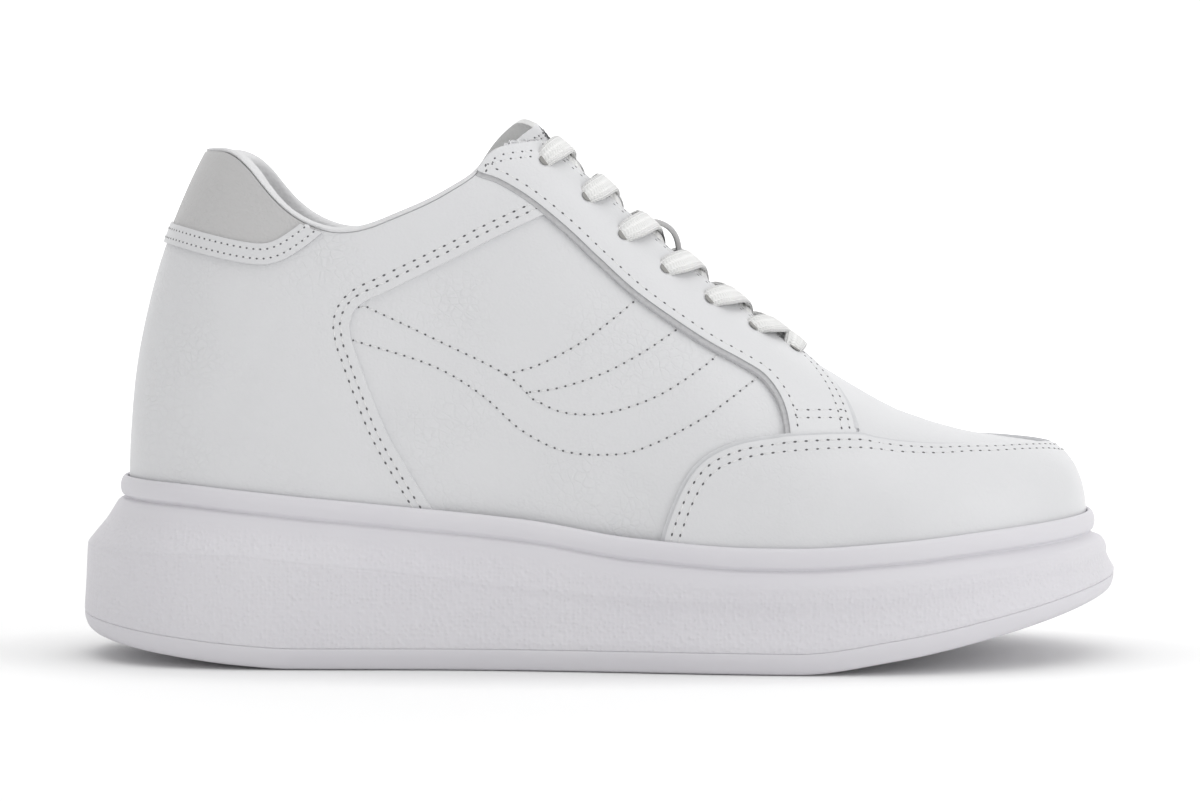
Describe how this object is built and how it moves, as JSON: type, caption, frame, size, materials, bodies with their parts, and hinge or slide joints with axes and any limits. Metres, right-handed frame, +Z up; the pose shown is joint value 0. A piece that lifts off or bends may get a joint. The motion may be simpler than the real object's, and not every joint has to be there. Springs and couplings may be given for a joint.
{
  "type": "platform sneaker",
  "caption": "Low-top lace-up platform sneaker for the right foot: hollow leather upper with padded tongue on a thick moulded sole.",
  "frame": {"origin": "on the ground, at the middle of the bounding box's footprint", "axes": "+X from heel to toe, +Z up, +Y to the inner (medial) side of the foot; the outer side faces -Y"},
  "size_m": [0.2968, 0.1129, 0.1529],
  "materials": {
    "white_leather": "smooth coated, semi-matte",
    "grey_leather": "smooth, soft matte",
    "sole_rubber": "matte, fine pebble",
    "lining": "soft woven",
    "lace": "woven"
  },
  "bodies": {
    "root": {"outsole": "sole_rubber", "midsole": "sole_rubber", "insole": "lining", "upper": "white_leather", "heel_tab": "grey_leather", "toe_cap": "white_leather", "eyestay_lateral": "white_leather", "eyestay_medial": "white_leather", "tongue": "white_leather", "lace_crossing_1": "lace", "lace_crossing_2": "lace", "lace_crossing_3": "lace", "lace_crossing_4": "lace", "lace_crossing_5": "lace", "lace_crossing_6": "lace", "lace_bar": "lace"}
  },
  "joints": []
}
